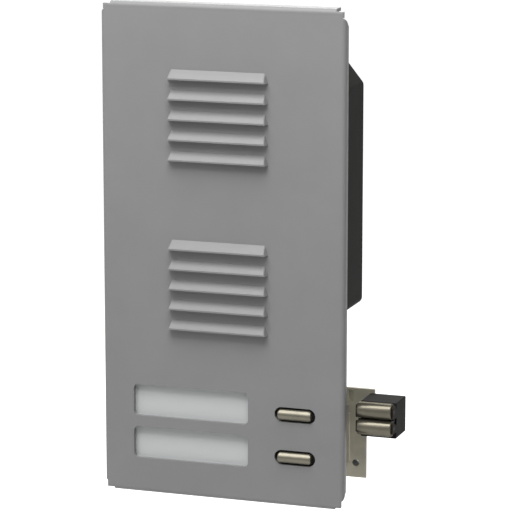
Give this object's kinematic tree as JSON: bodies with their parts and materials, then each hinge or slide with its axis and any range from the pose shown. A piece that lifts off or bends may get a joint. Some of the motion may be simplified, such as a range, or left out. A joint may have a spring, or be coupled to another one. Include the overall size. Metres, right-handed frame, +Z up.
{
  "type": "intercom door station",
  "caption": "Entry door station with a folded, louvred steel front, lit name windows, bell pushes, a speech unit behind and a spring-loaded roller catch on a side bracket.",
  "frame": {"origin": "middle of the flat underside of the panel's bottom flange", "axes": "+X right seen from the front, +Y back into the wall, +Z up along the panel"},
  "size_m": [0.1315, 0.0464, 0.22],
  "materials": {
    "grey_coat": "satin powder coat, neutral grey",
    "zinc_plate": "zinc plated, slightly dull",
    "nickel": "polished nickel",
    "spring_steel": "drawn spring wire",
    "black_moulding": "fine moulded texture, matt black",
    "light_moulding": "smooth light grey",
    "clear_pane": "clear acrylic",
    "diffuser": "translucent opal",
    "card": "plain white card",
    "foam": "closed-cell foam, matt black",
    "black_rubber": "soft black rubber",
    "gauze": "fine black gauze",
    "speaker_steel": "pressed zinc plated steel",
    "speaker_paper": "black pressed paper",
    "ferrite": "dark grey sintered ferrite",
    "capsule_can": "drawn aluminium can",
    "board_green": "green glass-fibre laminate",
    "capacitor_sleeve": "shrunk dark sleeve",
    "chip_black": "moulded epoxy",
    "terminal_green": "moulded polyamide",
    "trimmer_blue": "moulded blue body",
    "trimmer_white": "moulded white rotor",
    "lamp_white": "white lamp body",
    "contact_brass": "plain brass"
  },
  "bodies": {
    "panel_unit": {"front_panel": "grey_coat", "weld_studs": "zinc_plate", "stud_nuts": "zinc_plate", "acoustic_mesh": "gauze", "speech_housing": "black_moulding", "housing_gasket": "foam", "baffle": "black_moulding", "baffle_screws": "zinc_plate", "speaker_basket": "speaker_steel", "speaker_cone": "speaker_paper", "speaker_magnet": "ferrite", "speaker_clamps": "zinc_plate", "microphone_boot": "black_rubber", "microphone_capsule": "capsule_can", "speech_board": "board_green", "board_screws": "zinc_plate", "board_capacitors": "capacitor_sleeve", "board_chips": "chip_black", "terminal_block": "terminal_green", "terminal_screws": "zinc_plate", "volume_trimmer_body": "trimmer_blue", "microphone_trimmer_body": "trimmer_blue", "name_carrier": "light_moulding", "name_window_upper": "clear_pane", "name_window_lower": "clear_pane", "name_card_upper": "card", "name_card_lower": "card", "light_diffuser_upper": "diffuser", "light_diffuser_lower": "diffuser", "lamp_board": "board_green", "lamps": "lamp_white", "push_housing": "black_moulding", "push_spring_upper": "spring_steel", "push_spring_lower": "spring_steel", "fixed_contacts": "contact_brass", "contact_board": "board_green", "push_terminals": "terminal_green", "catch_bracket": "zinc_plate", "catch_body": "black_moulding", "catch_screws": "zinc_plate", "arm_pin_upper": "spring_steel", "arm_pin_lower": "spring_steel", "arm_spring_upper": "spring_steel", "arm_spring_lower": "spring_steel"},
    "upper_push": {"bell_push_upper": "nickel", "contact_bridge_upper": "contact_brass"},
    "lower_push": {"bell_push_lower": "nickel", "contact_bridge_lower": "contact_brass"},
    "upper_arm": {"roller_arm_upper": "nickel", "roller_axle_upper": "nickel"},
    "upper_roller": {"catch_roller_upper": "nickel"},
    "lower_arm": {"roller_arm_lower": "nickel", "roller_axle_lower": "nickel"},
    "lower_roller": {"catch_roller_lower": "nickel"},
    "volume_rotor": {"volume_trimmer_rotor": "trimmer_white"},
    "microphone_rotor": {"microphone_trimmer_rotor": "trimmer_white"}
  },
  "joints": [
    {"name": "upper_push_travel", "type": "slide", "parent": "panel_unit", "child": "upper_push", "axis": [0, 1, 0], "range_m": [0, 0.0012], "stiffness_N_per_m": 400, "springref_m": -0.002, "deforming": ["push_spring_upper"]},
    {"name": "lower_push_travel", "type": "slide", "parent": "panel_unit", "child": "lower_push", "axis": [0, 1, 0], "range_m": [0, 0.0012], "stiffness_N_per_m": 400, "springref_m": -0.002, "deforming": ["push_spring_lower"]},
    {"name": "upper_arm_pivot", "type": "hinge", "parent": "panel_unit", "child": "upper_arm", "pos_m": [0.067, 0.02, 0.041], "axis": [-1, 0, 0], "range_deg": [0, 6], "stiffness_Nm_per_rad": 0.5, "springref_deg": -11.46, "deforming": ["arm_spring_upper"]},
    {"name": "upper_roller_spin", "type": "hinge", "parent": "upper_arm", "child": "upper_roller", "pos_m": [0.067, 0.0065, 0.0437], "axis": [1, 0, 0], "continuous": true},
    {"name": "lower_arm_pivot", "type": "hinge", "parent": "panel_unit", "child": "lower_arm", "pos_m": [0.067, 0.02, 0.0358], "axis": [1, 0, 0], "range_deg": [0, 6], "stiffness_Nm_per_rad": 0.5, "springref_deg": -11.46, "deforming": ["arm_spring_lower"]},
    {"name": "lower_roller_spin", "type": "hinge", "parent": "lower_arm", "child": "lower_roller", "pos_m": [0.067, 0.0065, 0.0361], "axis": [1, 0, 0], "continuous": true},
    {"name": "volume_trim", "type": "hinge", "parent": "panel_unit", "child": "volume_rotor", "pos_m": [0.0245, 0.0315, 0.1018], "axis": [0, -1, 0], "range_deg": [-120, 120]},
    {"name": "microphone_trim", "type": "hinge", "parent": "panel_unit", "child": "microphone_rotor", "pos_m": [0.0335, 0.0315, 0.1018], "axis": [0, -1, 0], "range_deg": [-120, 120]}
  ]
}
